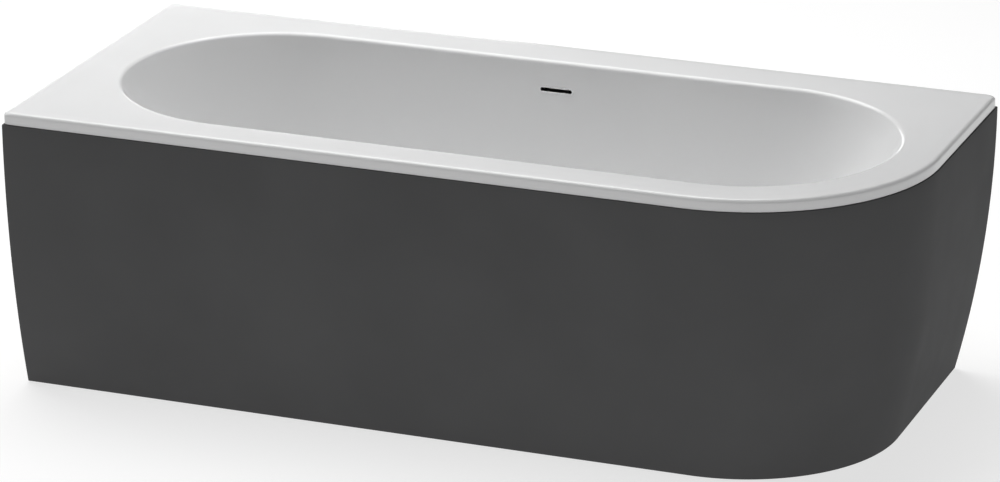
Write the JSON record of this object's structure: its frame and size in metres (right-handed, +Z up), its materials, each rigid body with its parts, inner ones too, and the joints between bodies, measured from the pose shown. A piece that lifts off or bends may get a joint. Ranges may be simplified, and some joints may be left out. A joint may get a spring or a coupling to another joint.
{
  "type": "bathtub",
  "caption": "Back-to-wall corner bath: white basin and rim with one rounded corner, a one-piece bowed graphite skirt, overflow, pop-up waste, trap and levelling feet.",
  "frame": {"origin": "on the floor, at the centre of the bath's footprint", "axes": "+X along the bath, towards the end with the rounded free corner; +Y towards the back wall; +Z up"},
  "size_m": [1.7, 0.75, 0.56],
  "materials": {
    "acrylic_white": "gloss",
    "fibreglass": "matte",
    "chipboard": "matte",
    "timber": "matte",
    "graphite_acrylic": "satin",
    "spring_steel": "satin",
    "zinc_screws": "satin",
    "zinc_steel": "satin",
    "zinc_rod": "satin",
    "black_plastic": "matte",
    "white_plastic": "satin",
    "grey_plastic": "satin",
    "grey_hose": "satin",
    "chrome": "polished",
    "brass": "satin",
    "rubber": "matte"
  },
  "bodies": {
    "bath": {"bath_shell": "acrylic_white", "laminate_backing": "fibreglass", "base_board": "chipboard", "rim_batten_front": "timber", "rim_batten_back": "timber", "rim_batten_left": "timber", "rim_batten_right": "timber", "skirt_panel": "graphite_acrylic", "panel_clips": "spring_steel", "panel_clip_screws": "zinc_screws", "floor_clips": "zinc_steel", "floor_clip_screws": "zinc_screws", "leg_rail_left": "zinc_steel", "leg_rail_right": "zinc_steel", "rail_screws": "zinc_screws", "leg_nuts_upper": "zinc_screws", "leg_nuts_lower": "zinc_screws", "waste_flange": "chrome", "waste_flange_gasket": "rubber", "waste_tee_gasket": "rubber", "waste_tee": "white_plastic", "click_cartridge": "grey_plastic", "click_spring": "spring_steel", "trap_pipe": "white_plastic", "trap_inlet_washer": "rubber", "trap_inlet_nut": "white_plastic", "trap_outlet_washer": "rubber", "trap_outlet_nut": "white_plastic", "overflow_bezel": "white_plastic", "overflow_gasket": "rubber", "overflow_housing": "white_plastic", "overflow_screws": "zinc_screws", "overflow_hose": "grey_hose", "hose_nut_upper": "white_plastic", "hose_nut_lower": "white_plastic", "wall_bracket_back_left": "zinc_steel", "wall_bracket_back_right": "zinc_steel", "wall_bracket_left": "zinc_steel"},
    "plug": {"plug_cap": "chrome", "plug_seal": "rubber", "plug_stem": "brass"},
    "outlet": {"outlet_elbow": "white_plastic"},
    "leg_front_left": {"leg_rod_front_left": "zinc_rod"},
    "foot_front_left": {"foot_pad_front_left": "black_plastic"},
    "leg_front_right": {"leg_rod_front_right": "zinc_rod"},
    "foot_front_right": {"foot_pad_front_right": "black_plastic"},
    "leg_back_left": {"leg_rod_back_left": "zinc_rod"},
    "foot_back_left": {"foot_pad_back_left": "black_plastic"},
    "leg_back_right": {"leg_rod_back_right": "zinc_rod"},
    "foot_back_right": {"foot_pad_back_right": "black_plastic"}
  },
  "joints": [
    {"name": "plug_click", "type": "slide", "parent": "bath", "child": "plug", "axis": [0, 0, 1], "range_m": [0, 0.009], "deforming": ["click_spring"]},
    {"name": "outlet_swivel", "type": "hinge", "parent": "bath", "child": "outlet", "pos_m": [-0.19, -0.011, 0.084], "axis": [1, 0, 0], "range_deg": [-180, 0]},
    {"name": "leg_front_left_height", "type": "slide", "parent": "bath", "child": "leg_front_left", "axis": [0, 0, 1], "range_m": [-0.02, 0.015]},
    {"name": "foot_front_left_swivel", "type": "hinge", "parent": "leg_front_left", "child": "foot_front_left", "pos_m": [-0.34, -0.226, 0.0105], "axis": [0, 0, 1], "continuous": true},
    {"name": "leg_front_right_height", "type": "slide", "parent": "bath", "child": "leg_front_right", "axis": [0, 0, 1], "range_m": [-0.02, 0.015]},
    {"name": "foot_front_right_swivel", "type": "hinge", "parent": "leg_front_right", "child": "foot_front_right", "pos_m": [0.36, -0.226, 0.0105], "axis": [0, 0, 1], "continuous": true},
    {"name": "leg_back_left_height", "type": "slide", "parent": "bath", "child": "leg_back_left", "axis": [0, 0, 1], "range_m": [-0.02, 0.015]},
    {"name": "foot_back_left_swivel", "type": "hinge", "parent": "leg_back_left", "child": "foot_back_left", "pos_m": [-0.34, 0.204, 0.0105], "axis": [0, 0, 1], "continuous": true},
    {"name": "leg_back_right_height", "type": "slide", "parent": "bath", "child": "leg_back_right", "axis": [0, 0, 1], "range_m": [-0.02, 0.015]},
    {"name": "foot_back_right_swivel", "type": "hinge", "parent": "leg_back_right", "child": "foot_back_right", "pos_m": [0.36, 0.204, 0.0105], "axis": [0, 0, 1], "continuous": true}
  ]
}
